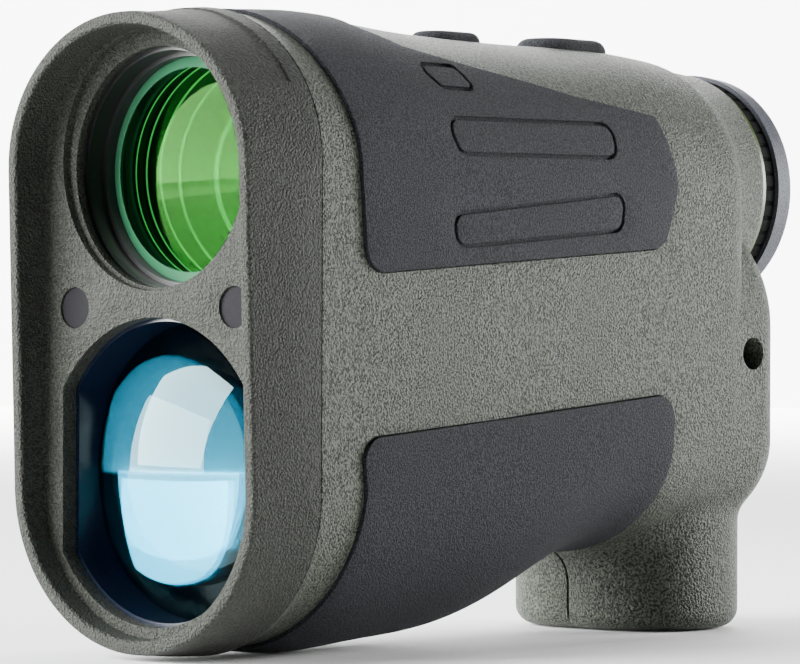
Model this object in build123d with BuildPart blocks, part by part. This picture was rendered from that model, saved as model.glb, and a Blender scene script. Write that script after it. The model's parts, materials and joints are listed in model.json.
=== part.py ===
"""Handheld laser rangefinder, one STEP file for each separate piece.

Frame: millimetres, +Z up, the objectives face -Y and the eyepiece faces +Y. The origin is below the
middle of the body, on the surface that the front bezel and the battery foot stand on.
"""
import os
from math import cos, radians, sin

from build123d import *

os.makedirs("parts", exist_ok=True)

# ---- Driving dimensions ----
LENGTH = 110.5
FRONT_Y = -LENGTH / 2
RIM_HALF_WIDTH = 20.5
RIM_SLANT = 0.0329
RIM_TOP_Z = 77.2
RIM_LOW_Z = 0.9
RIM_THICKNESS = 1.45
TOP_ARC = 0.905
BOTTOM_ARC = 0.94
SEAM_Y = -42.7
SEAM_GAP = 0.25
FACE_Y = -49.7
FACE_THICKNESS = 2.2
WALL = 2.0

AXIS_Z = 58.8
BORE_Z = 59.9
BORE_R = 15.8
RECEIVER_Z = 22.3
WINDOW_R = 18.6
WINDOW_FLAT = 15.7
PLUG_X = 13.7
PLUG_Z = 42.1
PLUG_R = 2.5

GRIP_PROUD = 0.45
GRIP_DEPTH = 0.8
GRIP_GAP = 0.2

NECK_END_Y = 48.7
EYEPIECE_TUBE_R = 13.4
EYEPIECE_BORE_R = 11.9
SLEEVE_R = 14.0
EYECUP_Y = 52.0
EYECUP_R = 15.84

FOOT_Y = 39.1
FOOT_LENGTH_X = 31.6
FOOT_WIDTH_Y = 24.2
FOOT_EDGE_R = 2.6
FOOT_BLEND_R = 5.0
BATTERY_R = 7.8
BATTERY_LENGTH = 27.0
CAP_R = 8.8

RUN_FIT = 0.06
BUTTON_GAP = 0.3

LANYARD_Y = 40.8
LANYARD_Z = 36.6
LANYARD_R = 2.15
LANYARD_EXIT_X = 14.6

# Body stations: y, half width, lowest z, highest z, height of the bottom arc over the half width
BODY_STATIONS = [
    (-42.45, 21.2, 0.1, 78.5, 0.94),
    (-32.0, 21.1, 0.3, 78.4, 0.94),
    (-21.0, 21.0, 0.9, 78.0, 0.93),
    (-10.0, 20.9, 1.8, 77.2, 0.90),
    (0.0, 20.8, 4.4, 76.9, 0.84),
    (8.0, 20.7, 8.0, 76.8, 0.76),
    (16.0, 20.6, 10.5, 76.8, 0.70),
    (28.0, 20.5, 10.8, 76.8, 0.70),
    (42.0, 20.45, 10.8, 76.3, 0.70),
]
BEZEL_STATIONS = [
    (FRONT_Y - 0.5, RIM_HALF_WIDTH, RIM_LOW_Z, RIM_TOP_Z, BOTTOM_ARC),
    (-49.0, 20.95, 0.3, 77.9, BOTTOM_ARC),
    (SEAM_Y, 21.3, 0.0, 78.5, BOTTOM_ARC),
]
REAR_BLOCK = (20.3, 10.95, 58.5, 0.70)
REAR_BLOCK_FRONT_Y = 27.0
REAR_BLOCK_END_Y = 48.5
REAR_EDGE_R = 6.0
# Neck stations: y, half width, half height of the ellipse about the optical axis
NECK_STATIONS = [(27.0, 19.5, 17.0), (38.0, 18.5, 16.9), (44.0, 16.9, 16.2), (NECK_END_Y, 15.8, 15.8)]

MODE_BUTTON = {"y": 2.4, "length": 10.2, "width": 6.6, "top": 77.9, "edge": 1.3}
FIRE_BUTTON = {"y": 25.3, "length": 13.8, "width": 8.5, "top": 78.1, "edge": 1.6}

# Housing screws along X: y, z and where the head sits
SHELL_SCREWS = [(-28.0, 41.6, -18.0), (-2.0, 39.5, -18.0), (27.5, 41.5, -17.6), (-16.0, 8.5, -11.2)]
SCREW_END_X = 11.0
SCREW_R = 0.9


# ---- Helpers ----
def oblong(y, half_width, z_low, z_high, bottom_ratio, grow=0.0):
    """Closed outline at y with straight sides, a half ellipse on top and one below."""
    wide = half_width + grow
    top_height = half_width * TOP_ARC + grow
    bottom_height = half_width * bottom_ratio + grow
    top_centre = (0, z_high + grow - top_height)
    bottom_centre = (0, z_low - grow + bottom_height)
    with BuildSketch(Plane.XZ.offset(-y)) as outline:
        with BuildLine():
            top = EllipticalCenterArc(top_centre, wide, top_height, 0, arc_size=180)
            bottom = EllipticalCenterArc(bottom_centre, wide, bottom_height, 180, arc_size=180)
            Line(top @ 1, bottom @ 0)
            Line(bottom @ 1, top @ 0)
        make_face()
    return outline.sketch


def lofted(stations, grow=0.0):
    """Smooth solid through oblong sections, offset outwards by grow."""
    with BuildPart() as solid:
        loft(sections=[oblong(*station, grow) for station in stations])
    return solid.part


def prism_y(y_start, y_end, half_width, z_low, z_high, ratio=BOTTOM_ARC, grow=0.0):
    """Straight oblong bar along Y."""
    with BuildPart() as bar:
        extrude(oblong(y_start, half_width, z_low, z_high, ratio, grow), amount=y_start - y_end)
    return bar.part


def rod_y(x, z, radius, y_start, y_end):
    """Plain cylinder along Y."""
    with BuildPart() as rod:
        with BuildSketch(Plane.XZ.offset(-y_start)):
            with Locations((x, z)):
                Circle(radius)
        extrude(amount=y_start - y_end)
    return rod.part


def rod_z(x, y, radius, z_start, z_end):
    """Plain cylinder along Z."""
    with BuildPart() as rod:
        with BuildSketch(Plane.XY.offset(z_start)):
            with Locations((x, y)):
                Circle(radius)
        extrude(amount=z_end - z_start)
    return rod.part


def rod_x(y, z, radius, x_start, x_end):
    """Plain cylinder along X."""
    with BuildPart() as rod:
        with BuildSketch(Plane.YZ.offset(x_start)):
            with Locations((y, z)):
                Circle(radius)
        extrude(amount=x_end - x_start)
    return rod.part


def ring_y(z, outer, inner, y_start, y_end):
    """Flat ring about an axis along Y."""
    with BuildPart() as ring:
        with BuildSketch(Plane.XZ.offset(-y_start)):
            with Locations((0, z)):
                Circle(outer)
                Circle(inner, mode=Mode.SUBTRACT)
        extrude(amount=y_start - y_end)
    return ring.part


def block(x_low, x_high, y_low, y_high, z_low, z_high):
    """Box between two corners."""
    with BuildPart(Location((x_low, y_low, z_low))) as box:
        Box(x_high - x_low, y_high - y_low, z_high - z_low, align=(Align.MIN, Align.MIN, Align.MIN))
    return box.part


def flatted(y_start, y_end, radius, flat):
    """Round bar of the receiver, cut flat on both sides."""
    with BuildPart() as bar:
        with BuildSketch(Plane.XZ.offset(-y_start)):
            with Locations((0, RECEIVER_Z)):
                Circle(radius)
                Rectangle(2 * flat, 2 * radius, mode=Mode.INTERSECT)
        extrude(amount=y_start - y_end)
    return bar.part


def pill(button, grow, z_start, z_end):
    """Button outline, an oblong along Y, extruded upwards."""
    with BuildPart() as shape:
        with BuildSketch(Plane.XY.offset(z_start)):
            with Locations((0, button["y"])):
                SlotOverall(button["length"] + 2 * grow, button["width"] + 2 * grow, rotation=90)
        extrude(amount=z_end - z_start)
    return shape.part


def turned(points, z=AXIS_Z):
    """Solid of revolution about an axis along Y, from (radius, y) corners."""
    with BuildPart() as solid:
        with BuildSketch(Plane.XY.offset(z)):
            with BuildLine():
                Polyline(*points, close=True)
            make_face()
        revolve(axis=Axis((0, 0, z), (0, 1, 0)))
    return solid.part


def save(name, shape):
    """Label a finished piece and write its STEP file."""
    shape.label = name
    export_step(shape, f"parts/{name}.step")


# ---- Housing envelope ----
body_outer = lofted(BODY_STATIONS)
body_inner = lofted(BODY_STATIONS, -WALL)

with BuildPart() as body_block:
    add(body_outer)
    fillet(body_block.faces().sort_by(Axis.Y)[-1].edges(), REAR_EDGE_R)

with BuildPart() as rear_block:
    add(prism_y(REAR_BLOCK_FRONT_Y, REAR_BLOCK_END_Y, *REAR_BLOCK))
    fillet(rear_block.faces().sort_by(Axis.Y)[-1].edges(), REAR_EDGE_R)

with BuildPart() as neck_block:
    for station_y, half_x, half_z in NECK_STATIONS:
        with BuildSketch(Plane.XZ.offset(-station_y)):
            with Locations((0, AXIS_Z)):
                Ellipse(half_x, half_z)
    loft()

with BuildPart() as foot_block:
    with BuildSketch(Plane.XY):
        with Locations((0, FOOT_Y)):
            SlotOverall(FOOT_LENGTH_X, FOOT_WIDTH_Y)
    extrude(amount=26)
    fillet(foot_block.faces().sort_by(Axis.Z)[0].edges(), FOOT_EDGE_R)

foot_front_y = FOOT_Y - FOOT_WIDTH_Y / 2
BELLY_Z = 10.8

with BuildPart() as envelope:
    add(body_block.part)
    add(rear_block.part)
    add(neck_block.part)
    add(foot_block.part)
    under_belly = envelope.edges().filter_by_position(Axis.Z, BELLY_Z - 1.8, 20.0)
    around_foot = under_belly.filter_by_position(Axis.Y, foot_front_y - 1, 47.0)
    fillet(around_foot.filter_by_position(Axis.X, -14.5, 14.5), FOOT_BLEND_R)

# Groove where the two shells meet on the front of the foot and its blend
PARTING_DEPTH = 0.4
PARTING_HALF_WIDTH = 0.2
blend_y = foot_front_y - FOOT_BLEND_R
blend_z = BELLY_Z - FOOT_BLEND_R
groove_r = FOOT_BLEND_R + PARTING_DEPTH

with BuildPart() as parting_groove:
    with BuildSketch(Plane.YZ.offset(-PARTING_HALF_WIDTH)):
        with BuildLine():
            Line((blend_y, -1), (blend_y + groove_r, -1))
            Line((blend_y + groove_r, -1), (blend_y + groove_r, blend_z))
            CenterArc((blend_y, blend_z), groove_r, 0, 90)
            Line((blend_y, blend_z + groove_r), (blend_y, -1))
        make_face()
    extrude(amount=2 * PARTING_HALF_WIDTH)


# ---- Front bezel ----
bezel_outer = lofted(BEZEL_STATIONS)
bezel_back_y = FACE_Y + FACE_THICKNESS
rim_plane = Plane(origin=(0, FRONT_Y, RIM_TOP_Z), z_dir=(0, -1, -RIM_SLANT))
rim_inner = (RIM_HALF_WIDTH - RIM_THICKNESS, RIM_LOW_Z + RIM_THICKNESS, RIM_TOP_Z - RIM_THICKNESS)
BEZEL_CAVITY = (19.3, 2.0, 76.4)
BOSS_END_Y = -43.95
HEAD_SEAT_Y = -45.4
BAND_DEPTH = 0.2
around_bezel = lofted(BEZEL_STATIONS, 1.0) - lofted(BEZEL_STATIONS, -BAND_DEPTH)
top_band = around_bezel & block(-25, 25, -53.6, -44.9, 68.6, 80)

with BuildPart() as front_bezel:
    add(bezel_outer)
    split(bisect_by=rim_plane, keep=Keep.BOTTOM)
    add(prism_y(FRONT_Y - 1, FACE_Y, *rim_inner), mode=Mode.SUBTRACT)
    fillet(front_bezel.faces().sort_by(Axis.Y)[0].edges(), 0.5)
    add(prism_y(bezel_back_y, SEAM_Y + 1, *BEZEL_CAVITY), mode=Mode.SUBTRACT)
    for side in (-1, 1):
        add(rod_y(side * PLUG_X, PLUG_Z, PLUG_R + 0.9, bezel_back_y, BOSS_END_Y))
        add(rod_y(side * PLUG_X, PLUG_Z, PLUG_R, FACE_Y - 1, HEAD_SEAT_Y), mode=Mode.SUBTRACT)
        add(rod_y(side * PLUG_X, PLUG_Z, 1.1, HEAD_SEAT_Y - 1, BOSS_END_Y + 1), mode=Mode.SUBTRACT)
    add(rod_y(0, BORE_Z, BORE_R, FACE_Y - 1, FACE_Y + 1.0), mode=Mode.SUBTRACT)
    add(rod_y(0, AXIS_Z + 0.2, 14.5, FACE_Y, bezel_back_y + 1), mode=Mode.SUBTRACT)
    add(flatted(FACE_Y - 1, bezel_back_y + 1, WINDOW_R, WINDOW_FLAT), mode=Mode.SUBTRACT)
    add(top_band, mode=Mode.SUBTRACT)
save("front_bezel", front_bezel.part)

with BuildPart() as bezel_plugs:
    for side in (-1, 1):
        add(rod_y(side * PLUG_X, PLUG_Z, PLUG_R - 0.05, FACE_Y + 0.3, FACE_Y + 2.8))
save("bezel_plugs", bezel_plugs.part)

with BuildPart() as bezel_screws:
    for side in (-1, 1):
        add(rod_y(side * PLUG_X, PLUG_Z, 1.9, HEAD_SEAT_Y - 1.3, HEAD_SEAT_Y))
        add(rod_y(side * PLUG_X, PLUG_Z, SCREW_R, HEAD_SEAT_Y, -38.0))
save("bezel_screws", bezel_screws.part)

with BuildPart() as bezel_gasket:
    add(prism_y(SEAM_Y, SEAM_Y + SEAM_GAP, 20.6, 0.8, 77.7))
    add(prism_y(SEAM_Y - 1, SEAM_Y + 1, *BEZEL_CAVITY), mode=Mode.SUBTRACT)
save("bezel_gasket", bezel_gasket.part)

# ---- Chassis plate and objective ----
PLATE_FRONT_Y = -43.9
PLATE_BACK_Y = -41.4
BARREL_R = 16.2
FRAME_R = 19.2
FRAME_FLAT = 16.2

with BuildPart() as chassis_plate:
    add(prism_y(PLATE_FRONT_Y, PLATE_BACK_Y, 18.6, 2.8, 75.8))
    add(rod_y(0, AXIS_Z, BARREL_R, PLATE_FRONT_Y - 1, PLATE_BACK_Y + 1), mode=Mode.SUBTRACT)
    add(flatted(PLATE_FRONT_Y - 1, PLATE_BACK_Y + 1, FRAME_R, FRAME_FLAT), mode=Mode.SUBTRACT)
    for side in (-1, 1):
        add(rod_y(side * PLUG_X, PLUG_Z, 2.4, PLATE_BACK_Y, -37.5))
        add(rod_y(side * PLUG_X, PLUG_Z, SCREW_R, PLATE_FRONT_Y - 1, -37.0), mode=Mode.SUBTRACT)
save("chassis_plate", chassis_plate.part)

LENS_EDGE_Y = -42.8
LENS_R = 14.2
CEMENT_EDGE_Y = -40.6
CEMENT_MID_Y = -39.0
LENS_BACK_Y = -36.6

with BuildPart() as objective_barrel:
    add(turned([
        (14.3, -46.9), (BARREL_R, -46.9), (BARREL_R, -32.0), (14.2, -32.0), (14.2, -10.0),
        (12.9, -10.0), (12.9, LENS_BACK_Y), (14.3, LENS_BACK_Y),
    ]))
save("objective_barrel", objective_barrel.part)
save("objective_seal", ring_y(AXIS_Z, 16.0, 14.7, bezel_back_y, -46.9))
save("objective_ring", ring_y(AXIS_Z, 14.28, 13.7, -44.4, -43.02))


def lens_blank(corners, arcs, z=AXIS_Z):
    """Glass disc turned about Y: straight runs between corners and arcs on its faces."""
    with BuildPart() as glass:
        with BuildSketch(Plane.XY.offset(z)):
            with BuildLine():
                for run in corners:
                    Line(*run)
                for arc in arcs:
                    RadiusArc(*arc)
            make_face()
        revolve(axis=Axis((0, 0, z), (0, 1, 0)))
    return glass.part


def front_vertex(radius, sphere, edge_y):
    """Y of the vertex of a face that bulges forwards from its edge."""
    return edge_y - (sphere - (sphere**2 - radius**2) ** 0.5)


FRONT_SPHERE = 45.0
front_y = front_vertex(LENS_R, FRONT_SPHERE, LENS_EDGE_Y)
cement_sphere = (LENS_R**2 + (CEMENT_MID_Y - CEMENT_EDGE_Y) ** 2) / (2 * (CEMENT_MID_Y - CEMENT_EDGE_Y))
save("objective_front_lens", lens_blank(
    [((LENS_R, LENS_EDGE_Y), (LENS_R, CEMENT_EDGE_Y)), ((0, CEMENT_MID_Y), (0, front_y))],
    [((LENS_R, CEMENT_EDGE_Y), (0, CEMENT_MID_Y), -cement_sphere),
     ((0, front_y), (LENS_R, LENS_EDGE_Y), -FRONT_SPHERE)],
))
save("objective_rear_lens", lens_blank(
    [((LENS_R, CEMENT_EDGE_Y), (LENS_R, LENS_BACK_Y)), ((LENS_R, LENS_BACK_Y), (0, LENS_BACK_Y)),
     ((0, LENS_BACK_Y), (0, CEMENT_MID_Y))],
    [((LENS_R, CEMENT_EDGE_Y), (0, CEMENT_MID_Y), -cement_sphere)],
))

# ---- Receiver ----
RECEIVER_SPHERE = 26.0
RECEIVER_LENS_R = 18.1
RECEIVER_EDGE_Y = -41.8
RECEIVER_BACK_Y = -40.0
receiver_vertex_y = front_vertex(RECEIVER_LENS_R, RECEIVER_SPHERE, RECEIVER_EDGE_Y)

with BuildPart() as receiver_frame:
    add(flatted(bezel_back_y, -34.0, FRAME_R, FRAME_FLAT))
    add(flatted(bezel_back_y - 1, RECEIVER_BACK_Y, 18.15, 15.15), mode=Mode.SUBTRACT)
    add(flatted(RECEIVER_BACK_Y - 1, -33.0, 17.2, 14.2), mode=Mode.SUBTRACT)
save("receiver_frame", receiver_frame.part)

with BuildPart() as receiver_lens:
    add(lens_blank(
        [((RECEIVER_LENS_R, RECEIVER_EDGE_Y), (RECEIVER_LENS_R, RECEIVER_BACK_Y)),
         ((RECEIVER_LENS_R, RECEIVER_BACK_Y), (0, RECEIVER_BACK_Y)),
         ((0, RECEIVER_BACK_Y), (0, receiver_vertex_y))],
        [((0, receiver_vertex_y), (RECEIVER_LENS_R, RECEIVER_EDGE_Y), -RECEIVER_SPHERE)],
        RECEIVER_Z,
    ))
    add(flatted(-52, -38, 19, 15.1), mode=Mode.INTERSECT)
save("receiver_lens", receiver_lens.part)

save("receiver_cone", turned([
    (15.6, -34.0), (17.0, -34.0), (17.0, -32.5), (6.2, -12.0), (4.9, -12.0), (15.6, -32.2),
], RECEIVER_Z))
save("band_filter", rod_y(0, RECEIVER_Z, 5.2, -12.0, -11.1))
with BuildPart() as photodiode:
    add(rod_y(0, RECEIVER_Z, 3.8, -11.0, -8.2))
    add(rod_y(0, RECEIVER_Z, 4.6, -8.7, -7.9))
save("photodiode", photodiode.part)
save("receiver_board", block(-12, 12, -7.9, -6.7, 11.5, 33.5))

# ---- Prisms, laser and display ----
with BuildPart() as prism_holder:
    add(block(-11.5, 11.5, -8.0, 22.0, 46.5, 69.3))
    add(block(-10.0, 10.0, -6.6, 20.6, 48.0, 67.8), mode=Mode.SUBTRACT)
    add(rod_y(0, AXIS_Z, 8.0, -9.0, 23.0), mode=Mode.SUBTRACT)
    add(rod_z(0, 8.0, 3.0, 46.0, 48.5), mode=Mode.SUBTRACT)
save("prism_holder", prism_holder.part)


def prism_glass(points):
    """Prism with its cross-section in the YZ plane."""
    with BuildPart() as glass:
        with BuildSketch(Plane.YZ.offset(-9.5)):
            with BuildLine():
                Polyline(*points, close=True)
            make_face()
        extrude(amount=19.0)
    return glass.part


save("half_penta_prism", prism_glass([(-6.4, 48.2), (-6.4, 67.4), (3.4, 67.4), (10.4, 48.2)]))
save("roof_prism", prism_glass([(4.0, 67.4), (20.4, 67.4), (20.4, 48.2), (11.0, 48.2)]))

LASER_Y = 8.0
save("laser_diode", rod_z(0, LASER_Y, 2.8, 28.0, 31.4))
with BuildPart() as laser_collimator:
    add(rod_z(0, LASER_Y, 4.4, 31.4, 46.4))
    add(rod_z(0, LASER_Y, 3.0, 31.0, 47.0), mode=Mode.SUBTRACT)
save("laser_collimator", laser_collimator.part)
save("laser_lens", rod_z(0, LASER_Y, 3.0, 42.0, 44.5))

save("reticle_display", block(-8.0, 8.0, 22.2, 23.8, 51.0, 66.6))
save("field_stop", ring_y(AXIS_Z, 11.2, 8.6, 24.2, 25.6))

# ---- Boards ----
save("main_board", block(-14.2, -13.0, 2.5, 24.0, 18.5, 44.0))
with BuildPart() as board_components:
    add(block(-13.0, -11.4, 6.0, 13.0, 30.0, 37.0))
    add(block(-13.0, -12.0, 16.0, 21.0, 33.0, 38.0))
    add(block(-13.0, -11.0, 5.0, 20.0, 21.0, 25.0))
save("board_components", board_components.part)

BOARD_TOP_Z = 71.2
SWITCH_TOP_Z = 72.8
PLUNGER_TOP_Z = 73.4
PLATE_TOP_Z = 73.9
save("button_board", block(-7.5, 7.5, -6.0, 30.2, BOARD_TOP_Z - 1.0, BOARD_TOP_Z))

for button_name, button in (("mode", MODE_BUTTON), ("fire", FIRE_BUTTON)):
    button_y = button["y"]
    with BuildPart() as switch:
        add(block(-3, 3, button_y - 3, button_y + 3, BOARD_TOP_Z, SWITCH_TOP_Z))
        add(rod_z(0, button_y, 1.2 + RUN_FIT, BOARD_TOP_Z + 0.2, SWITCH_TOP_Z + 1), mode=Mode.SUBTRACT)
    save(f"{button_name}_switch", switch.part)
    save(f"{button_name}_plunger", rod_z(0, button_y, 1.2, 72.2, PLUNGER_TOP_Z))
    save(f"{button_name}_carrier", pill(button, 0.8, PLUNGER_TOP_Z, PLATE_TOP_Z))
    with BuildPart() as cap:
        add(pill(button, 0.0, PLATE_TOP_Z, button["top"]))
        fillet(cap.faces().sort_by(Axis.Z)[-1].edges(), button["edge"])
    save(f"{button_name}_button", cap.part)

# ---- Battery foot contents ----
TUBE_R = 9.3
TUBE_LOW_Z = 3.6
TUBE_TOP_Z = 36.4
BATTERY_LOW_Z = 4.2
battery_top_z = BATTERY_LOW_Z + BATTERY_LENGTH

with BuildPart() as battery_tube:
    add(rod_z(0, FOOT_Y, TUBE_R, TUBE_LOW_Z, TUBE_TOP_Z))
    add(rod_z(0, FOOT_Y, 8.1, TUBE_LOW_Z - 1, TUBE_TOP_Z - 1.2), mode=Mode.SUBTRACT)
save("battery_tube", battery_tube.part)

with BuildPart() as battery:
    add(rod_z(0, FOOT_Y, BATTERY_R, BATTERY_LOW_Z, battery_top_z - 0.8))
    fillet(battery.edges().filter_by(GeomType.CIRCLE), 0.5)
    add(rod_z(0, FOOT_Y, 3.2, battery_top_z - 1.2, battery_top_z))
save("battery", battery.part)

with BuildPart() as battery_spring:
    with BuildLine():
        coil = Helix(1.15, 3.2, 3.6, center=(0, FOOT_Y, battery_top_z + 0.35))
    with BuildSketch(Plane(origin=coil @ 0, z_dir=coil % 0)):
        Circle(0.3)
    sweep(path=coil, is_frenet=True)
save("battery_spring", battery_spring.part)

with BuildPart() as battery_cap:
    add(rod_z(0, FOOT_Y, CAP_R, 0.3, 3.0))
    chamfer(battery_cap.faces().sort_by(Axis.Z)[0].edges(), 0.4)
    add(rod_z(0, FOOT_Y, 7.2, 3.0, 3.8))
    add(block(-5.5, 5.5, FOOT_Y - 0.8, FOOT_Y + 0.8, 0.0, 1.7), mode=Mode.SUBTRACT)
save("battery_cap", battery_cap.part)
save("cap_contact", rod_z(0, FOOT_Y, 5.0, 3.8, 4.1))
with BuildPart() as cap_seal:
    add(rod_z(0, FOOT_Y, 7.95, 3.05, 3.75))
    add(rod_z(0, FOOT_Y, 7.3, 3.0, 3.8), mode=Mode.SUBTRACT)
save("cap_seal", cap_seal.part)

# ---- Eyepiece ----
with BuildPart() as eyepiece_tube:
    add(turned([
        (9.0, 31.0), (EYEPIECE_TUBE_R, 31.0), (EYEPIECE_TUBE_R, 53.8),
        (EYEPIECE_BORE_R, 53.8), (EYEPIECE_BORE_R, 32.5), (9.0, 32.5),
    ]))
save("eyepiece_tube", eyepiece_tube.part)

with BuildPart() as eyepiece_cell:
    add(turned([
        (10.7, 36.0), (EYEPIECE_BORE_R - RUN_FIT, 36.0), (EYEPIECE_BORE_R - RUN_FIT, 51.0),
        (10.7, 51.0), (10.7, 46.2), (9.8, 46.2), (9.8, 41.0), (10.7, 41.0),
    ]))
save("eyepiece_cell", eyepiece_cell.part)
save("field_lens", rod_y(0, AXIS_Z, 10.7, 37.0, 41.0))
EYE_SPHERE = 22.0
eye_edge_y = 49.0
eye_vertex_y = eye_edge_y + EYE_SPHERE - (EYE_SPHERE**2 - 10.7**2) ** 0.5
save("eye_lens", lens_blank(
    [((0, 46.2), (10.7, 46.2)), ((10.7, 46.2), (10.7, eye_edge_y)), ((0, eye_vertex_y), (0, 46.2))],
    [((10.7, eye_edge_y), (0, eye_vertex_y), -EYE_SPHERE)],
))

save("neck_ring", ring_y(AXIS_Z, 15.45, EYEPIECE_TUBE_R, NECK_END_Y, NECK_END_Y + 1.0))
save("diopter_sleeve", ring_y(AXIS_Z, SLEEVE_R, EYEPIECE_TUBE_R + RUN_FIT, NECK_END_Y + 1.2, 53.9))

RIB_COUNT = 48
with BuildPart() as eyecup_core:
    add(turned([
        (SLEEVE_R + RUN_FIT, NECK_END_Y + 1.2), (15.3, NECK_END_Y + 1.2), (15.3, EYECUP_Y - 0.1),
        (14.9, EYECUP_Y - 0.1), (14.9, 54.0), (SLEEVE_R + RUN_FIT, 54.0),
    ]))
    for rib in range(RIB_COUNT):
        turn = radians(360 * rib / RIB_COUNT)
        groove = (15.45 * cos(turn), AXIS_Z + 15.45 * sin(turn))
        add(rod_y(*groove, 0.35, NECK_END_Y + 1.0, EYECUP_Y - 0.4), mode=Mode.SUBTRACT)
save("eyecup_core", eyecup_core.part)

with BuildPart() as eyecup:
    add(turned([
        (14.9, EYECUP_Y), (EYECUP_R, EYECUP_Y), (EYECUP_R - 0.3, -FRONT_Y), (11.8, -FRONT_Y),
        (11.8, 54.1), (14.9, 54.1),
    ]))
    fillet(eyecup.faces().sort_by(Axis.Y)[-1].edges(), 0.45)
save("eyecup", eyecup.part)

# ---- Shells and grips ----
NOTCH_FRONT_Y = -24.6


def side_region(points, radius, grow):
    """Bar along X with a rounded outline in the side view."""
    with BuildPart() as region:
        with BuildSketch(Plane.YZ.offset(-30)) as outline:
            with BuildLine():
                Polyline(*points, close=True)
            make_face()
            fillet(outline.vertices(), radius)
            if grow:
                offset(amount=grow)
        extrude(amount=60)
    return region.part


def deck_region(grow):
    """Part of the top that the upper grip leaves bare, in the plan view."""
    front = [(-9.5 + grow, NOTCH_FRONT_Y + grow), (9.5 - grow, NOTCH_FRONT_Y + grow)]
    right = [(12.9 - grow, -20.0 + grow), (17.2 - grow, 8.0), (19.2 - grow, 30.0)]
    left = [(-x, y) for x, y in reversed(right)]
    with BuildPart() as region:
        with BuildSketch(Plane.XY.offset(60)) as outline:
            with BuildLine():
                Polyline(*front, *right, *left, close=True)
            make_face()
            fillet(outline.vertices(), 2.0)
        extrude(amount=30)
    return region.part


UPPER_GRIP = [(-39.9, 84.0), (-36.2, 62.0), (-34.8, 46.2), (21.6, 50.2), (24.3, 58.0), (19.0, 84.0)]
LOWER_GRIP = [(-35.5, 26.4), (-34.9, 20.0), (-38.2, -6.0), (25.4, -6.0), (22.6, 15.0), (23.9, 31.4)]


def grip_zone(upper, grow=0.0):
    """Side-view area of a grip, less the bare deck for the upper one."""
    if upper:
        return side_region(UPPER_GRIP, 3.2, grow) - deck_region(grow)
    return side_region(LOWER_GRIP, 3.0, grow)


grip_floor = lofted(BODY_STATIONS, -GRIP_DEPTH)
grip_face = lofted(BODY_STATIONS, GRIP_PROUD)
grip_margin = lofted(BODY_STATIONS, 2.0)

PAD_OUTLINES = [
    [(-20.0, 65.4), (12.4, 65.8), (12.2, 61.5), (-18.2, 61.0)],
    [(-19.6, 53.6), (13.4, 57.0), (12.8, 52.3), (-18.8, 49.6)],
    [(-20.6, 72.1), (-12.8, 72.2), (-11.4, 69.2), (-18.0, 69.2)],
]
PAD_CORNERS = (1.7, 1.7, 0.8)
PAD_LINE = 0.28

pad_depth = grip_margin - lofted(BODY_STATIONS, -0.05)
pad_grooves = []
for pad, corner in zip(PAD_OUTLINES, PAD_CORNERS):
    pad_ring = side_region(pad, corner, PAD_LINE) - side_region(pad, corner, -PAD_LINE)
    pad_grooves.append(pad_ring & pad_depth)

for grip_name, is_upper in (("upper_grip", True), ("lower_grip", False)):
    with BuildPart() as grip:
        add(grip_face)
        add(grip_zone(is_upper), mode=Mode.INTERSECT)
        add(grip_floor, mode=Mode.SUBTRACT)
        add(foot_block.part, mode=Mode.SUBTRACT)
        if is_upper:
            add(pad_grooves, mode=Mode.SUBTRACT)
    save(grip_name, grip.part)

CAVITY_REAR_Y = 34.0
SCREW_POST_R = 2.6
SCREW_HEAD_HOLE_R = 2.05
LUG = (10.9, 19.5, 36.4, 47.5, 31.8, 41.4)

with BuildPart() as hollow:
    add(body_inner)
    split(bisect_by=Plane.XZ.offset(-CAVITY_REAR_Y), keep=Keep.TOP)

screw_posts = []
for screw_y, screw_z, _ in SHELL_SCREWS:
    screw_posts.append(rod_x(screw_y, screw_z, SCREW_POST_R, -21.0, 21.0) & envelope.part)
lug_inside = block(*LUG) & envelope.part
tube_bore = rod_z(0, FOOT_Y, TUBE_R, TUBE_LOW_Z - 0.1, 45.0) & envelope.part
pockets = []
for is_upper in (True, False):
    pocket = (grip_margin & grip_zone(is_upper, GRIP_GAP)) - grip_floor
    pockets.append(pocket - foot_block.part)

with BuildPart() as housing:
    add(envelope.part)
    add(hollow.part, mode=Mode.SUBTRACT)
    add(prism_y(REAR_BLOCK_FRONT_Y, REAR_BLOCK_END_Y - WALL, *REAR_BLOCK, -WALL), mode=Mode.SUBTRACT)
    add(rod_y(0, AXIS_Z, EYEPIECE_TUBE_R + 0.1, 25.0, NECK_END_Y + 1), mode=Mode.SUBTRACT)
    add(screw_posts)
    add(lug_inside)
    add(tube_bore, mode=Mode.SUBTRACT)
    add(rod_z(0, FOOT_Y, CAP_R + RUN_FIT, -1.0, TUBE_LOW_Z), mode=Mode.SUBTRACT)
    add(parting_groove.part, mode=Mode.SUBTRACT)
    for screw_y, screw_z, head_x in SHELL_SCREWS:
        add(rod_x(screw_y, screw_z, SCREW_HEAD_HOLE_R, -25.0, head_x), mode=Mode.SUBTRACT)
        add(rod_x(screw_y, screw_z, SCREW_R, head_x - 1, SCREW_END_X), mode=Mode.SUBTRACT)
    add(rod_x(LANYARD_Y, LANYARD_Z, LANYARD_R, LANYARD_EXIT_X, 25.0), mode=Mode.SUBTRACT)
    add(rod_y(LANYARD_EXIT_X, LANYARD_Z, LANYARD_R, LANYARD_Y, 52.0), mode=Mode.SUBTRACT)
    for button in (MODE_BUTTON, FIRE_BUTTON):
        add(pill(button, BUTTON_GAP, PLATE_TOP_Z, 80.0), mode=Mode.SUBTRACT)
    add(pockets, mode=Mode.SUBTRACT)

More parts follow.
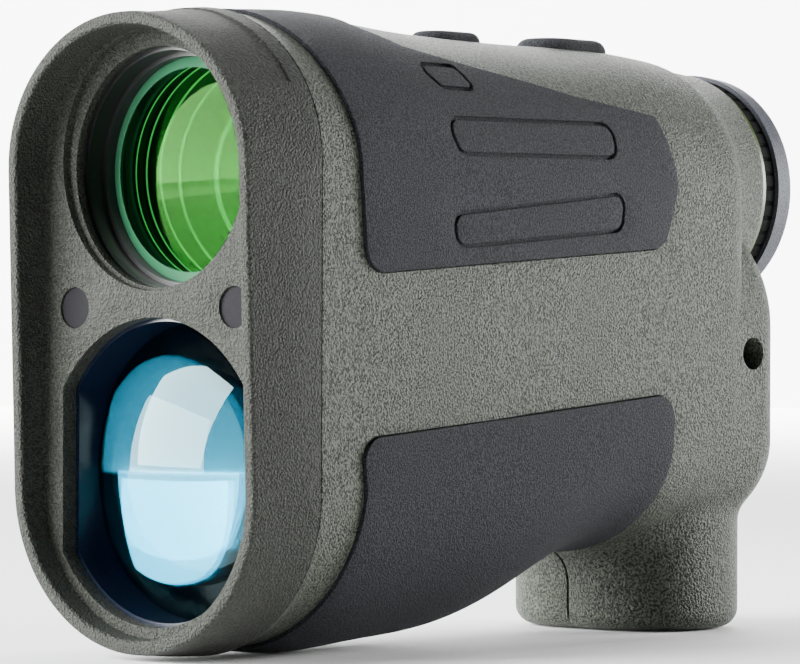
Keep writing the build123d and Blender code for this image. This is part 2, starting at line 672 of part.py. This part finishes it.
for shell_name, kept in (("right_shell", Keep.TOP), ("left_shell", Keep.BOTTOM)):
    with BuildPart() as shell:
        add(housing.part)
        split(bisect_by=Plane.YZ, keep=kept)
    save(shell_name, shell.part)

with BuildPart() as shell_screws:
    for screw_y, screw_z, head_x in SHELL_SCREWS:
        add(rod_x(screw_y, screw_z, 1.9, head_x - 1.4, head_x))
        add(rod_x(screw_y, screw_z, SCREW_R, head_x, SCREW_END_X))
save("shell_screws", shell_screws.part)
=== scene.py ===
"""Looks of a hand-held laser rangefinder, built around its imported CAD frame.

Every length is in metres unless a name ends in _mm. The frame gives the places: the objectives face -Y,
the eyepiece faces +Y, +Z is up, and the battery foot stands on z = 0.
"""
import json
import math

import bpy
from mathutils import Matrix, Vector


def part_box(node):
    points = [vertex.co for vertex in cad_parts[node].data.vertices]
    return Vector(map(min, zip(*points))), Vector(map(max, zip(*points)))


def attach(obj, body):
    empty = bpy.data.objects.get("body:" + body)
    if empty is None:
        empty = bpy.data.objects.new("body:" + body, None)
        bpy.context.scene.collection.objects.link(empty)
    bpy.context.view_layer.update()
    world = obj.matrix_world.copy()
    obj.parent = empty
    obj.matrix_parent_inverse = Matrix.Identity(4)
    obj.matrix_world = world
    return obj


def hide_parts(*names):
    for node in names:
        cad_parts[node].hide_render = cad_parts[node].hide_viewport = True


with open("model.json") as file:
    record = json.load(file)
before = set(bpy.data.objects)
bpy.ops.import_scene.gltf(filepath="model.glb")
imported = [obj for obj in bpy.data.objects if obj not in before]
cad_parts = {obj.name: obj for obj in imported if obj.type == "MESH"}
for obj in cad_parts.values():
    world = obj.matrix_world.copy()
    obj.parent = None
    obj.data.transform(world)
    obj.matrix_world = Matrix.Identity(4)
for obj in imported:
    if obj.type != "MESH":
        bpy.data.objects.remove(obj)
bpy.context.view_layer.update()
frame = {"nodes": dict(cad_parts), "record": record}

bl_info = {
    "name": "Laser rangefinder looks",
    "version": (1, 0, 0),
    "blender": (4, 5, 0),
    "location": "View3D > Sidebar > Rangefinder",
    "description": "Models and finishes the visible pieces of a hand-held laser rangefinder",
    "category": "Object",
}

MM = 0.001
CUT = 1e-7
BODY_OF = {
    node: body for body, nodes in frame["record"]["behaviour"]["bodies"].items() for node in nodes
}
SLOT_OF = {part["node"]: part["material_slot"] for part in frame["record"]["subparts"]}
NECK_LOW, NECK_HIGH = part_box("eyecup")
AXIS_Z = (NECK_LOW.z + NECK_HIGH.z) / 2


# ---- Sizes and colours that a user would change ----
class RangefinderSizes(bpy.types.PropertyGroup):
    """Sizes of the surface detail and of the edges."""

    grain_mm: bpy.props.FloatProperty(
        name="Housing grain", description="Width of one pebble of the moulded grain, in mm",
        default=0.3, min=0.1, max=3.0)
    grain_depth_mm: bpy.props.FloatProperty(
        name="Grain depth", description="Height of the moulded grain, in mm", default=0.5, min=0.0, max=1.0)
    grit_mm: bpy.props.FloatProperty(
        name="Rubber grit", description="Width of one speck of the sanded rubber, in mm",
        default=0.25, min=0.1, max=3.0)
    grit_depth_mm: bpy.props.FloatProperty(
        name="Grit depth", description="Height of the rubber's specks, in mm", default=0.45, min=0.0, max=1.0)
    edge_mm: bpy.props.FloatProperty(
        name="Edge radius", description="Radius that softens moulded edges, in mm",
        default=0.15, min=0.0, max=1.0)
    lens_segments: bpy.props.IntProperty(
        name="Lens segments", description="Steps around each lens", default=160, min=32, max=512)


class RangefinderColours(bpy.types.PropertyGroup):
    """Colours as sRGB hex values."""

    housing: bpy.props.StringProperty(name="Housing", description="Olive housing plastic", default="50564A")
    # Painted shade: the darker colour that the valleys of the housing grain take
    housing_pit_shade: bpy.props.StringProperty(
        name="Housing pits", description="Colour between the pebbles", default="12140F")
    # The bezel is the same olive plastic as the shells; its darker colour is painted shade
    bezel: bpy.props.StringProperty(name="Bezel", description="Darker olive of the bezel", default="2A2D26")
    rubber: bpy.props.StringProperty(name="Rubber", description="Grips and buttons", default="2A2D35")
    # Painted shade: the darker colour that the valleys of the rubber grit take
    rubber_pit_shade: bpy.props.StringProperty(
        name="Rubber pits", description="Colour between the specks", default="08090B")
    neck: bpy.props.StringProperty(name="Neck ring", description="Smooth green trim ring", default="3A4A1E")
    floor: bpy.props.StringProperty(name="Floor", description="Pale studio floor", default="F6F6F6")


# ---- Helpers ----
def colour(hex_value, alpha=1.0):
    """sRGB hex to the linear colour that a shader takes."""
    channels = [int(hex_value[i:i + 2], 16) / 255 for i in (0, 2, 4)]
    linear = [c / 12.92 if c <= 0.04045 else ((c + 0.055) / 1.055) ** 2.4 for c in channels]
    return (*linear, alpha)


def add_node(tree, kind, values=None, links=None, **settings):
    """Add a shader node with its settings, its socket values and the links into it."""
    node = tree.nodes.new(kind)
    for name, value in settings.items():
        setattr(node, name, value)
    for socket, value in (values or {}).items():
        node.inputs[socket].default_value = value
    for socket, source in (links or {}).items():
        tree.links.new(source, node.inputs[socket])
    return node


def new_material(name):
    """Empty node material with its output node."""
    material = bpy.data.materials.new(name)
    material.use_nodes = True
    tree = material.node_tree
    tree.nodes.clear()
    output = add_node(tree, "ShaderNodeOutputMaterial")
    return material, tree, output


def deselect():
    """Leave nothing selected, so that an operator acts only on what comes next."""
    if bpy.context.object and bpy.context.object.mode != "OBJECT":
        bpy.ops.object.mode_set(mode="OBJECT")
    bpy.ops.object.select_all(action="DESELECT")


def pick(piece):
    """Make one object the selected and active one."""
    deselect()
    piece.select_set(True)
    bpy.context.view_layer.objects.active = piece


def set_material(piece, material):
    """Give a piece one material and no other."""
    piece.data.materials.clear()
    piece.data.materials.append(material)


def finish_piece(piece, body, slot, *nodes):
    """Tie a finished piece to its body and hide the nodes that it stands for."""
    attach(piece, body)
    if nodes:
        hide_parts(*nodes)


def dressed_copy(node, material, edge_mm=0.0, smooth_deg=32.0):
    """Merged, smooth-shaded copy of a CAD node with softened edges."""
    source = frame["nodes"][node]
    piece = bpy.data.objects.new(f"{node}_skin", source.data.copy())
    bpy.context.scene.collection.objects.link(piece)
    pick(piece)
    bpy.ops.object.mode_set(mode="EDIT")
    bpy.ops.mesh.select_all(action="SELECT")
    bpy.ops.mesh.remove_doubles(threshold=0.002 * MM)
    bpy.ops.mesh.customdata_custom_splitnormals_clear()
    bpy.ops.mesh.tris_convert_to_quads(face_threshold=math.radians(2), shape_threshold=math.radians(60))
    bpy.ops.object.mode_set(mode="OBJECT")
    if edge_mm:
        bevel = piece.modifiers.new("Soft edges", "BEVEL")
        bevel.width = edge_mm * MM
        bevel.segments = 2
        bevel.limit_method = "ANGLE"
        bevel.angle_limit = math.radians(38)
        bevel.harden_normals = False
        bpy.ops.object.modifier_apply(modifier=bevel.name)
    bpy.ops.object.shade_smooth_by_angle(angle=math.radians(smooth_deg))
    set_material(piece, material)
    finish_piece(piece, BODY_OF[node], SLOT_OF[node], node)
    return piece


def cut_sides_flat(flat_x, centre_z):
    """In edit mode, cut the mesh off and close it at flat_x on both sides of the middle."""
    for side in (-1, 1):
        bpy.ops.mesh.select_all(action="SELECT")
        bpy.ops.mesh.bisect(
            plane_co=(side * flat_x, 0, centre_z), plane_no=(side, 0, 0), clear_outer=True, use_fill=True,
            threshold=CUT)


def lens_cap(name, centre_z, vertex_y, sphere_r, rim_r, back_y, flat_x=None):
    """Plano-convex lens about an axis along Y, with its flat face at back_y.

    flat_x cuts both of its sides flat at that distance from the middle.
    """
    outwards = -1 if vertex_y < back_y else 1
    edge_y = vertex_y - outwards * (sphere_r - math.sqrt(sphere_r**2 - rim_r**2))
    deselect()
    bpy.ops.mesh.primitive_uv_sphere_add(
        segments=bpy.context.scene.rangefinder_sizes.lens_segments, ring_count=360, radius=sphere_r,
        location=(0, vertex_y - outwards * sphere_r, centre_z), rotation=(math.pi / 2, 0, 0))
    piece = bpy.context.object
    piece.name = name
    bpy.ops.object.transform_apply(location=True, rotation=True, scale=True)
    bpy.ops.object.mode_set(mode="EDIT")
    bpy.ops.mesh.select_all(action="SELECT")
    bpy.ops.mesh.bisect(plane_co=(0, edge_y, centre_z), plane_no=(0, outwards, 0), clear_inner=True,
                        threshold=CUT)
    bpy.ops.mesh.extrude_region_move(TRANSFORM_OT_translate={"value": (0, back_y - edge_y, 0)})
    bpy.ops.mesh.edge_face_add()
    if flat_x:
        cut_sides_flat(flat_x, centre_z)
    bpy.ops.mesh.select_all(action="SELECT")
    bpy.ops.mesh.remove_doubles(threshold=0.001 * MM)
    bpy.ops.mesh.normals_make_consistent(inside=False)
    bpy.ops.object.mode_set(mode="OBJECT")
    bpy.ops.object.shade_smooth_by_angle(angle=math.radians(12))
    return piece


def thin_rings(name, centre_z, rings, wire_r):
    """Fine lips inside a barrel, given as (radius, y), joined in one piece."""
    made = []
    for ring_r, ring_y in rings:
        deselect()
        bpy.ops.mesh.primitive_torus_add(
            location=(0, ring_y, centre_z), rotation=(math.pi / 2, 0, 0), major_radius=ring_r,
            minor_radius=wire_r, major_segments=128, minor_segments=8)
        bpy.ops.object.transform_apply(location=True, rotation=True, scale=True)
        made.append(bpy.context.object)
    deselect()
    for ring in made:
        ring.select_set(True)
    bpy.context.view_layer.objects.active = made[0]
    bpy.ops.object.join()
    piece = bpy.context.object
    piece.name = name
    bpy.ops.object.origin_set(type="ORIGIN_CURSOR")
    bpy.ops.object.shade_smooth()
    return piece


def plain_disc(name, centre_z, y, radius, flat_x=None, thickness=0.2 * MM):
    """Thin disc about an axis along Y; flat_x cuts both of its sides flat."""
    deselect()
    bpy.ops.mesh.primitive_cylinder_add(
        vertices=128, radius=radius, depth=thickness, location=(0, y, centre_z), rotation=(math.pi / 2, 0, 0))
    piece = bpy.context.object
    piece.name = name
    bpy.ops.object.transform_apply(location=True, rotation=True, scale=True)
    bpy.ops.object.mode_set(mode="EDIT")
    if flat_x:
        cut_sides_flat(flat_x, centre_z)
    bpy.ops.mesh.select_all(action="SELECT")
    bpy.ops.mesh.normals_make_consistent(inside=False)
    bpy.ops.object.mode_set(mode="OBJECT")
    return piece


# ---- Materials ----
# Lower than the usual 1.5 to 1.58 of these materials, matched to the dull gloss of the grained skins
PEBBLED_IOR = 1.36
RUBBER_IOR = 1.33
# Typical indices of the lens glasses; the receiver takes the crown glass value too
CROWN_IOR = 1.55
EYE_GLASS_IOR = 1.6


def grained(tree, output, stops, grain_mm, depth_mm, noise, roughness, ior):
    """Colour and relief from one noise: a darker colour painted as shade in its valleys, the high colour on
    its crests.
    """
    place = add_node(tree, "ShaderNodeTexCoord").outputs["Object"]
    grain = add_node(
        tree, "ShaderNodeTexNoise", {"Scale": 1 / (grain_mm * MM), **noise}, {"Vector": place})
    tint = add_node(tree, "ShaderNodeValToRGB", {}, {"Fac": grain.outputs["Fac"]})
    for stop, (position, hex_value) in zip(tint.color_ramp.elements, stops):
        stop.position = position
        stop.color = colour(hex_value)
    bump = add_node(
        tree, "ShaderNodeBump", {"Strength": 1.0, "Distance": depth_mm * MM},
        {"Height": grain.outputs["Fac"]})
    add_shader(tree, output, {"Roughness": roughness, "IOR": ior},
               {"Base Color": tint.outputs["Color"], "Normal": bump.outputs["Normal"]})


def pebbled_plastic(name, high_hex, pit_shade_hex, grain_mm, depth_mm, roughness):
    """Polycarbonate from a spark-eroded mould: its pebbles catch the light, and its valleys are darkened with
    painted shade.
    """
    material, tree, output = new_material(name)
    grained(tree, output, ((0.4, pit_shade_hex), (0.6, high_hex)), grain_mm, depth_mm,
            {"Detail": 1.5, "Roughness": 0.6}, roughness, PEBBLED_IOR)
    return material


def sanded_rubber(name, high_hex, pit_shade_hex, grit_mm, depth_mm, roughness):
    """Soft-touch rubber from a sand-blasted mould: fine specks on a dull blue-grey skin, with painted shade
    darkening the valleys between them.
    """
    material, tree, output = new_material(name)
    grained(tree, output, ((0.44, pit_shade_hex), (0.6, high_hex)), grit_mm, depth_mm,
            {"Detail": 2.0, "Roughness": 0.7}, roughness, RUBBER_IOR)
    return material


def add_shader(tree, output, values, links=None):
    """Principled shader linked to the material's output."""
    shader = add_node(tree, "ShaderNodeBsdfPrincipled", values, links)
    tree.links.new(shader.outputs["BSDF"], output.inputs["Surface"])
    return shader


def moulded(name, hex_value, roughness, ior=1.5, fine_mm=0.25, depth_mm=0.006, metallic=0.0):
    """Plain moulded or turned part: an even colour with a faint fine unevenness in its gloss."""
    material, tree, output = new_material(name)
    place = add_node(tree, "ShaderNodeTexCoord").outputs["Object"]
    fine = add_node(
        tree, "ShaderNodeTexNoise", {"Scale": 1 / (fine_mm * MM), "Detail": 3.0}, {"Vector": place})
    spread = add_node(
        tree, "ShaderNodeMapRange", {"To Min": roughness * 0.85, "To Max": roughness * 1.2},
        {"Value": fine.outputs["Fac"]})
    bump = add_node(
        tree, "ShaderNodeBump", {"Strength": 1.0, "Distance": depth_mm * MM}, {"Height": fine.outputs["Fac"]})
    values = {"Base Color": colour(hex_value), "Metallic": metallic}
    if not metallic:
        values["IOR"] = ior
    add_shader(tree, output, values,
               {"Roughness": spread.outputs["Result"], "Normal": bump.outputs["Normal"]})
    return material


def coated_glass(name, body_hex, coat_hex, ior, edge=None):
    """Polished lens glass: clear inside, while its interference coat tints every reflection.

    edge gives (axis height, radius, colour) of a coloured rim band that hides the lens seat; a faint emission
    on the band is a painted glow.
    """
    material, tree, output = new_material(name)
    clear = add_node(
        tree, "ShaderNodeBsdfRefraction", {"Color": colour(body_hex), "Roughness": 0.0, "IOR": ior})
    coat = add_node(tree, "ShaderNodeBsdfGlossy", {"Color": colour(coat_hex), "Roughness": 0.0})
    share = add_node(tree, "ShaderNodeFresnel", {"IOR": ior})
    glass = add_node(tree, "ShaderNodeMixShader", {}, {
        0: share.outputs["Fac"], 1: clear.outputs["BSDF"], 2: coat.outputs["BSDF"]})
    if edge:
        centre_z, edge_r, edge_hex = edge
        place = add_node(tree, "ShaderNodeTexCoord").outputs["Object"]
        centred = add_node(
            tree, "ShaderNodeVectorMath", {1: (0, 0, centre_z)}, {0: place}, operation="SUBTRACT")
        flat = add_node(
            tree, "ShaderNodeVectorMath", {1: (1, 0, 1)}, {0: centred.outputs["Vector"]},
            operation="MULTIPLY")
        radius = add_node(
            tree, "ShaderNodeVectorMath", {}, {0: flat.outputs["Vector"]}, operation="LENGTH")
        band = add_node(
            tree, "ShaderNodeMapRange", {"From Min": edge_r, "From Max": edge_r + 0.15 * MM},
            {"Value": radius.outputs["Value"]})
        # Painted glow: the band gives off its own colour faintly, though it is no lamp
        rim_band_glow = add_node(tree, "ShaderNodeBsdfPrincipled", {
            "Base Color": colour(edge_hex), "Roughness": 0.25, "Emission Color": colour(edge_hex),
            "Emission Strength": 0.2})
        glass = add_node(tree, "ShaderNodeMixShader", {}, {
            0: band.outputs["Result"], 1: glass.outputs["Shader"], 2: rim_band_glow.outputs["BSDF"]})
    tree.links.new(glass.outputs["Shader"], output.inputs["Surface"])
    return material


def painted_glint_lip(name, hex_value, strength):
    """Lip inside a coated lens: an emission on its crest paints the glint of the coat's colour as a fine
    bright line.
    """
    material, tree, output = new_material(name)
    add_shader(tree, output, {
        "Base Color": colour(hex_value), "Roughness": 0.2,
        "Emission Color": colour(hex_value), "Emission Strength": strength,
    })
    return material


# Slots of the parts that keep their CAD mesh: name of the finish, sRGB colour, roughness and metal share.
# Metals gleam in their own colour, glasses are dark and glossy, and moulded parts are even and satin.
INNER_FINISHES = {
    "screw_steel": ("blackened_steel_screw", "3A3A3C", 0.35, 1.0),
    "seal_rubber": ("nitrile_rubber_seal", "16171A", 0.6, 0.0),
    "chassis_aluminium": ("cast_aluminium_plate", "8E9094", 0.45, 1.0),
    "black_plastic": ("moulded_black_nylon", "17181B", 0.45, 0.0),
    "objective_glass": ("crown_glass_block", "18301E", 0.05, 0.0),
    "eye_glass": ("flint_glass_block", "1C2230", 0.05, 0.0),
    "filter_glass": ("red_filter_glass", "4A0E14", 0.08, 0.0),
    "sensor_can": ("nickel_plated_can", "B4B2AC", 0.3, 1.0),
    "board_green": ("solder_masked_board", "12552C", 0.3, 0.0),
    "prism_glass": ("polished_prism_glass", "1E3A2C", 0.05, 0.0),
    "laser_brass": ("turned_brass", "B08D4A", 0.3, 1.0),
    "display_glass": ("display_glass", "1B2B38", 0.1, 0.0),
    "chip_black": ("epoxy_chip_case", "1C1D20", 0.5, 0.0),
    "battery_wrap": ("printed_battery_sleeve", "30506E", 0.3, 0.0),
    "spring_steel": ("drawn_spring_steel", "A8A8A6", 0.28, 1.0),
    "carrier_plastic": ("moulded_black_acetal_carrier", "202226", 0.5, 0.0),
    "contact_brass": ("stamped_brass_contact", "C09A52", 0.3, 1.0),
}


# Lens sizes in metres: the radius of the polished sphere and of the rim, and the half width between flats
OBJECTIVE_SPHERE_R = 45 * MM
OBJECTIVE_RIM_R = 14.2 * MM
OBJECTIVE_RIM_BAND_R = 12.3 * MM
RECEIVER_SPHERE_R = 26 * MM
RECEIVER_RIM_R = 18.1 * MM
RECEIVER_FLAT_X = 15.1 * MM
RECEIVER_COAT_R = 16.6 * MM
RECEIVER_COAT_FLAT_X = 13.6 * MM
RECEIVER_COAT_GAP = 0.3 * MM
EYE_SPHERE_R = 22 * MM
EYE_RIM_R = 10.7 * MM
# Fine lips down the inside of the objective's barrel
CREST_R = 12.5 * MM
CREST_WIRE_R = 0.1 * MM
CREST_PLACES_Y = [y * MM for y in (-35.4, -33.2, -31.0, -28.8, -26.2, -23.6, -20.6)]


# ---- Operators, one for each piece or group ----
class RANGEFINDER_OT_housing(bpy.types.Operator):
    """Finish the two housing shells and the front bezel in pebbled olive plastic"""

    bl_idname = "rangefinder.housing"
    bl_label = "Housing and bezel"

    def execute(self, context):
        sizes = context.scene.rangefinder_sizes
        colours = context.scene.rangefinder_colours
        shell = pebbled_plastic("moulded_olive_polycarbonate", colours.housing, colours.housing_pit_shade,
                                sizes.grain_mm, sizes.grain_depth_mm, 0.5)
        # The bezel and the battery cap are the same olive plastic as the shells, given a darker colour as
        # painted shade
        bezel = pebbled_plastic("olive_polycarbonate_painted_shade", colours.bezel, colours.housing_pit_shade,
                                sizes.grain_mm, sizes.grain_depth_mm, 0.65)
        dressed_copy("right_shell", shell, sizes.edge_mm)
        dressed_copy("left_shell", shell, sizes.edge_mm)
        dressed_copy("front_bezel", bezel, sizes.edge_mm)
        dressed_copy("battery_cap", bezel)
        return {"FINISHED"}


class RANGEFINDER_OT_rubber(bpy.types.Operator):
    """Finish the grips, the buttons, the eyecup and the plugs in rubber"""

    bl_idname = "rangefinder.rubber"
    bl_label = "Rubber parts"

    def execute(self, context):
        sizes = context.scene.rangefinder_sizes
        colours = context.scene.rangefinder_colours
        grip = sanded_rubber("sanded_soft_touch_rubber", colours.rubber, colours.rubber_pit_shade,
                             sizes.grit_mm, sizes.grit_depth_mm, 0.75)
        # The eyecup's grit valleys are darkened with painted shade too
        cup = sanded_rubber("matte_eyecup_rubber", "4A4D55", "2C2E34", sizes.grit_mm * 0.8, 0.02, 0.6)
        for node in ("upper_grip", "lower_grip"):
            dressed_copy(node, grip, sizes.edge_mm * 1.6)
        for node in ("mode_button", "fire_button"):
            dressed_copy(node, grip)
        dressed_copy("eyecup", cup)
        # Smooth moulded rubber: partly its own dark colour and partly painted shade of the recess it sits in,
        # flat and dark against the grained face
        plug = moulded("rubber_plug_with_painted_shade", "100F13", 0.8, 1.25)
        dressed_copy("bezel_plugs", plug)
        return {"FINISHED"}


class RANGEFINDER_OT_optics(bpy.types.Operator):
    """Model the lenses and finish their barrel and frame"""

    bl_idname = "rangefinder.optics"
    bl_label = "Lenses and barrels"

    def execute(self, context):
        low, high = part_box("objective_front_lens")
        back_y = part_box("objective_rear_lens")[1].y
        objective = lens_cap(
            "objective_lens_polished", AXIS_Z, low.y, OBJECTIVE_SPHERE_R, OBJECTIVE_RIM_R, back_y)
        set_material(objective, coated_glass(
            "green_coated_crown_glass", "B0E0B8", "4A8040", CROWN_IOR, (AXIS_Z, OBJECTIVE_RIM_BAND_R, "2F6648")))
        finish_piece(
            objective, "housing", SLOT_OF["objective_front_lens"], "objective_front_lens",
            "objective_rear_lens")
        lips = thin_rings(
            "barrel_thread_crests", AXIS_Z, [(CREST_R, y) for y in CREST_PLACES_Y], CREST_WIRE_R)
        # The crests' emission paints the coat-coloured glints seen down the barrel
        set_material(lips, painted_glint_lip("thread_crest_painted_glint", "7FD494", 1.0))
        finish_piece(lips, "housing", "ring_black")
        low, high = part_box("receiver_lens")
        receiver = lens_cap(
            "receiver_lens_polished", (low.z + high.z) / 2, low.y, RECEIVER_SPHERE_R, RECEIVER_RIM_R, high.y,
            RECEIVER_FLAT_X)
        set_material(receiver, coated_glass("cyan_coated_receiver_glass", "98D0DC", "D0F6F8", CROWN_IOR))
        finish_piece(receiver, "housing", SLOT_OF["receiver_lens"], "receiver_lens")
        mirror = plain_disc(
            "receiver_lens_back_coat", (low.z + high.z) / 2, high.y + RECEIVER_COAT_GAP, RECEIVER_COAT_R,
            RECEIVER_COAT_FLAT_X)
        # Dichroic filter coat: a deep cyan mirror that gives the window its colour
        set_material(mirror, moulded("dichroic_cyan_filter_coat", "70B8BC", 0.06, metallic=1.0, depth_mm=0.0))
        finish_piece(mirror, "housing", "receiver_glass")
        low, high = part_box("eye_lens")
        eye = lens_cap("eye_lens_polished", AXIS_Z, high.y, EYE_SPHERE_R, EYE_RIM_R, low.y)
        set_material(eye, coated_glass("violet_coated_eye_glass", "D8E0F0", "C0B0FF", EYE_GLASS_IOR))
        finish_piece(eye, BODY_OF["eye_lens"], SLOT_OF["eye_lens"], "eye_lens")
        # Anodised aluminium: near black, with a soft gleam down the bore
        black = moulded("anodised_black_barrel", "090A0C", 0.4)
        # Glossy moulded polycarbonate: dark navy that mirrors the window's light
        navy = moulded("dark_navy_polycarbonate", "0B1424", 0.18)
        for node in ("objective_barrel", "objective_ring", "objective_seal"):
            dressed_copy(node, black)
        for node in ("receiver_frame", "receiver_cone"):
            dressed_copy(node, navy)
        return {"FINISHED"}


class RANGEFINDER_OT_eyepiece(bpy.types.Operator):
    """Finish the neck ring, the eyecup core and the eyepiece parts"""

    bl_idname = "rangefinder.eyepiece"
    bl_label = "Eyepiece"

    def execute(self, context):
        colours = context.scene.rangefinder_colours
        # Smooth moulded trim: an even olive green with a satin gleam
        dressed_copy("neck_ring", moulded("smooth_green_trim", colours.neck, 0.35))
        # Moulded acetal: dull black with next to no gloss
        black = moulded("moulded_black_acetal", "060607", 0.8, 1.2)
        for node in ("eyecup_core", "diopter_sleeve", "eyepiece_tube", "eyepiece_cell"):
            dressed_copy(node, black)
        return {"FINISHED"}


class RANGEFINDER_OT_inside(bpy.types.Operator):
    """Finish the parts that the housing hides"""

    bl_idname = "rangefinder.inside"
    bl_label = "Inner parts"

    def execute(self, context):
        made = {}
        for node, piece in frame["nodes"].items():
            slot = SLOT_OF[node]
            if slot not in INNER_FINISHES:
                continue
            if slot not in made:
                name, hex_value, roughness, metallic = INNER_FINISHES[slot]
                made[slot] = moulded(name, hex_value, roughness, metallic=metallic)
            set_material(piece, made[slot])
        return {"FINISHED"}


class RANGEFINDER_OT_stage(bpy.types.Operator):
    """Pale floor, soft studio lights and the camera"""

    bl_idname = "rangefinder.stage"
    bl_label = "Floor, lights and camera"

    def execute(self, context):
        colours = context.scene.rangefinder_colours
        deselect()
        bpy.ops.mesh.primitive_circle_add(vertices=96, radius=6.0, fill_type="NGON", location=(0, 0, -0.0002))
        floor = context.object
        floor.name = "studio_floor"
        # Matte white paint: an even pale ground with soft shadows
        material, tree, output = new_material("painted_pale_floor")
        add_shader(tree, output, {"Base Color": colour(colours.floor), "Roughness": 0.7})
        set_material(floor, material)
        world = bpy.data.worlds.new("studio_air")
        world.use_nodes = True
        world.node_tree.nodes["Background"].inputs["Color"].default_value = colour("FFFFFF")
        world.node_tree.nodes["Background"].inputs["Strength"].default_value = 0.05
        context.scene.world = world
        add_softbox("front_left_softbox", (-0.75, -1.0, 0.55), 1.2, 1.1, 105.0)
        add_softbox("low_front_softbox", (-0.5, -0.62, 0.006), 0.8, 0.8, 30.0)
        add_softbox("rear_right_softbox", (0.16, 0.28, 0.09), 0.16, 0.12, 1.9)
        add_softbox("top_softbox", (-0.15, 0.3, 1.0), 0.5, 0.5, 8.0)
        bpy.ops.mesh.primitive_plane_add(
            size=2.4, location=(-1.3, 1.4, 0.6), rotation=(math.pi / 2, 0, CAMERA_AZIMUTH))
        backdrop = context.object
        backdrop.name = "studio_backdrop"
        set_material(backdrop, material)
        add_softbox("backdrop_softbox", (-0.9, 0.9, 1.5), 0.8, 0.8, 90.0, (-1.3, 1.4, 0.2), 1.75)
        add_camera()
        return {"FINISHED"}


def add_softbox(name, place, width, height, power, target=(0, 0, 0.04), spread=math.pi):
    """Rectangular studio light aimed at the target; a narrow spread keeps it off everything else."""
    aim = Vector(target) - Vector(place)
    deselect()
    bpy.ops.object.light_add(type="AREA", location=place, rotation=aim.to_track_quat("-Z", "Y").to_euler())
    lamp = bpy.context.object
    lamp.name = name
    lamp.data.shape = "RECTANGLE"
    lamp.data.size = width
    lamp.data.size_y = height
    lamp.data.energy = power
    lamp.data.spread = spread


# The camera stands level with the middle of the body, 42.7 degrees round from the front
CAMERA_PLACE = (0.37023, -0.40743, 0.03831)
CAMERA_AZIMUTH = 0.745
CAMERA_PITCH = 0.0018
CAMERA_ROLL = -0.0026
CAMERA_LENS_MM = 193.1


def add_camera():
    """Long lens at the distance that gives the same perspective as a close product shot."""
    turn = Matrix.Rotation(CAMERA_AZIMUTH, 4, "Z") @ Matrix.Rotation(math.pi / 2 + CAMERA_PITCH, 4, "X")
    turn = turn @ Matrix.Rotation(-CAMERA_ROLL, 4, "Z")
    deselect()
    bpy.ops.object.camera_add(location=CAMERA_PLACE, rotation=turn.to_euler())
    camera = bpy.context.object
    camera.name = "studio_camera"
    camera.data.sensor_width = 36
    camera.data.lens = CAMERA_LENS_MM
    camera.data.clip_start = 0.01
    bpy.context.scene.camera = camera


class RANGEFINDER_PT_panel(bpy.types.Panel):
    """Lists the steps in the 3D view's sidebar"""

    bl_label = "Laser rangefinder"
    bl_idname = "RANGEFINDER_PT_panel"
    bl_space_type = "VIEW_3D"
    bl_region_type = "UI"
    bl_category = "Rangefinder"

    def draw(self, context):
        for step in STEPS:
            self.layout.operator(step.bl_idname)
        for group in (context.scene.rangefinder_sizes, context.scene.rangefinder_colours):
            for name in group.__annotations__:
                self.layout.prop(group, name)


STEPS = (
    RANGEFINDER_OT_housing,
    RANGEFINDER_OT_rubber,
    RANGEFINDER_OT_optics,
    RANGEFINDER_OT_eyepiece,
    RANGEFINDER_OT_inside,
    RANGEFINDER_OT_stage,
)
CLASSES = (RangefinderSizes, RangefinderColours, *STEPS, RANGEFINDER_PT_panel)


def register():
    """Add the classes and the settings to Blender."""
    for item in CLASSES:
        bpy.utils.register_class(item)
    bpy.types.Scene.rangefinder_sizes = bpy.props.PointerProperty(type=RangefinderSizes)
    bpy.types.Scene.rangefinder_colours = bpy.props.PointerProperty(type=RangefinderColours)


def unregister():
    """Take the classes and the settings out of Blender."""
    del bpy.types.Scene.rangefinder_colours
    del bpy.types.Scene.rangefinder_sizes
    for item in reversed(CLASSES):
        bpy.utils.unregister_class(item)


def main():
    """Build every piece in order."""
    register()
    for step in STEPS:
        group, name = step.bl_idname.split(".")
        getattr(getattr(bpy.ops, group), name)()


if __name__ == "__main__":
    main()
